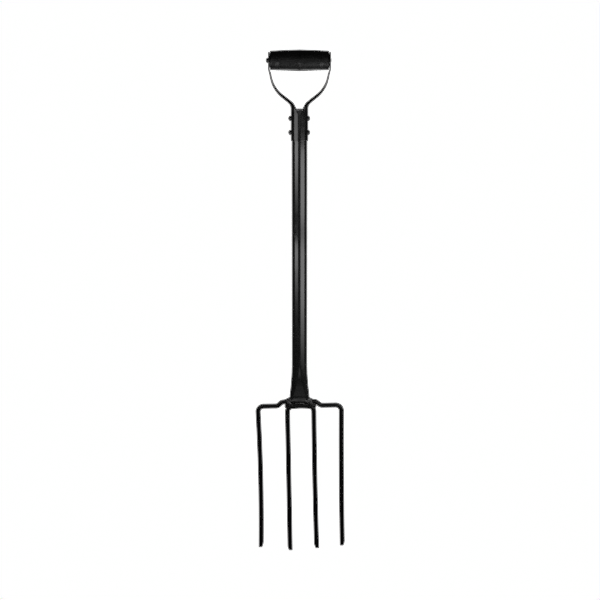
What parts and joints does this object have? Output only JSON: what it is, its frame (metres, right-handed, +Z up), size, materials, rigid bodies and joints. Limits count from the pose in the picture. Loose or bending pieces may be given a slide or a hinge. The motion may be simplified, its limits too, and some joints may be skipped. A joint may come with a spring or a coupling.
{
  "type": "digging fork",
  "caption": "All-steel digging fork: tube shaft pressed flat over bent round-bar tines, with a riveted D handle and a barrel grip that turns on its pin.",
  "frame": {"origin": "on the shaft's axis, at the height of the lowest tine tip: the bottom centre of the bounding box, to within 3 mm", "axes": "+Z up along the shaft from the tine tips to the grip, +X along the grip's pin from its domed end to its peened end, -Y the way the tines sweep forward"},
  "size_m": [0.1853, 0.0443, 1.0453],
  "materials": {
    "tube_paint": "semi-gloss black powder coat",
    "bar_paint": "semi-gloss black powder coat",
    "weld_paint": "black powder coat over rippled weld",
    "strap_paint": "semi-gloss black powder coat",
    "fastener_paint": "black powder coat",
    "plated_steel": "zinc plated",
    "grip_plastic": "matt black moulded plastic"
  },
  "bodies": {
    "fork": {"shaft_tube": "tube_paint", "outer_tine_bar": "bar_paint", "inner_tine_bar": "bar_paint", "weld_toe_left": "weld_paint", "weld_toe_right": "weld_paint", "weld_front_lip": "weld_paint", "weld_front_left": "weld_paint", "weld_front_right": "weld_paint", "weld_rear_lip": "weld_paint", "weld_rear_left": "weld_paint", "weld_rear_right": "weld_paint", "strap_left": "strap_paint", "strap_right": "strap_paint", "socket_rivet_upper": "fastener_paint", "socket_rivet_lower": "fastener_paint", "grip_pin": "fastener_paint", "grip_washer_left": "fastener_paint", "grip_washer_right": "fastener_paint", "grip_spacer_tube": "plated_steel"},
    "grip": {"grip_barrel": "grip_plastic"}
  },
  "joints": [
    {"name": "grip_spin", "type": "hinge", "parent": "fork", "child": "grip", "pos_m": [0, 0, 1.0248], "axis": [1, 0, 0], "continuous": true}
  ]
}
